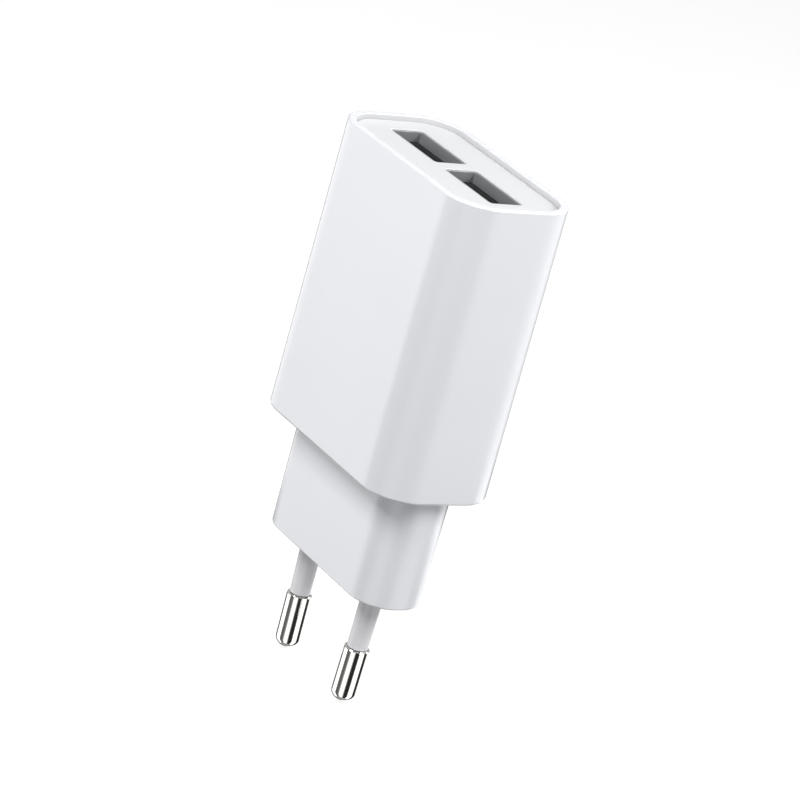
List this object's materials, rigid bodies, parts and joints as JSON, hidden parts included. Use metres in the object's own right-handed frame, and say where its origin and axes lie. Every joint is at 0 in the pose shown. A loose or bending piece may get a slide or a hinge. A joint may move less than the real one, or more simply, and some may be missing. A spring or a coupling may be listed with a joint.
{
  "type": "usb wall charger",
  "caption": "Wall charger with two round plug pins and two USB-A ports in a recessed end panel, with its power supply inside.",
  "frame": {"origin": "centre of the plug's contact face, between the two pins", "axes": "+Z along the pins from the wall towards the USB ports, +X along the wide side, +Y to the rear wide face"},
  "size_m": [0.0396, 0.0214, 0.0852],
  "materials": {
    "case_white": "gloss white moulded plastic",
    "panel_white": "gloss white moulded plastic, slightly softer",
    "insert_white": "satin white moulded plastic",
    "sleeve_grey": "pale grey satin insulation",
    "nickel": "bright nickel plating",
    "port_steel": "tin-plated sheet steel",
    "port_black": "black moulded insulator",
    "contact_gold": "gold-plated spring contact",
    "copper": "enamelled copper",
    "board": "green solder mask on glass-epoxy board",
    "film": "amber insulating film",
    "tape": "yellow polyester tape",
    "ferrite": "sintered ferrite",
    "input_can": "dark shrink sleeve over an aluminium can",
    "output_can": "green shrink sleeve over an aluminium can",
    "fuse_green": "grey-green resistor coating",
    "package_black": "black moulded package",
    "bobbin_black": "black phenolic moulding",
    "chip_ceramic": "tan ceramic chip",
    "disc_blue": "blue epoxy coating"
  },
  "bodies": {
    "root": {"housing": "case_white", "port_panel": "panel_white", "pin_carrier": "insert_white", "pin_left": "nickel", "pin_right": "nickel", "pin_sleeve_left": "sleeve_grey", "pin_sleeve_right": "sleeve_grey", "mains_strip_left": "copper", "mains_strip_right": "copper", "usb_shell_left": "port_steel", "usb_shell_right": "port_steel", "usb_insulator_left": "port_black", "usb_insulator_right": "port_black", "usb_contact_left_1": "contact_gold", "usb_contact_left_2": "contact_gold", "usb_contact_left_3": "contact_gold", "usb_contact_left_4": "contact_gold", "usb_contact_right_1": "contact_gold", "usb_contact_right_2": "contact_gold", "usb_contact_right_3": "contact_gold", "usb_contact_right_4": "contact_gold", "fuse_resistor": "fuse_green", "bridge_rectifier": "package_black", "inductor_core": "ferrite", "inductor_coil": "copper", "y_capacitor": "disc_blue", "input_capacitor_1": "input_can", "input_capacitor_2": "input_can", "output_capacitor_1": "output_can", "output_capacitor_2": "output_can", "transformer_core_lower": "ferrite", "transformer_core_upper": "ferrite", "transformer_bobbin": "bobbin_black", "primary_winding": "copper", "secondary_winding": "copper", "winding_tape": "tape", "core_tape": "tape", "controller_ic": "package_black", "output_rectifier": "package_black", "charge_id_ic": "package_black", "chip_resistor_1": "package_black", "chip_resistor_2": "package_black", "chip_resistor_3": "package_black", "chip_resistor_4": "package_black", "chip_capacitor_1": "chip_ceramic", "chip_capacitor_2": "chip_ceramic", "insulation_sheet": "film", "main_board": "board"}
  },
  "joints": []
}
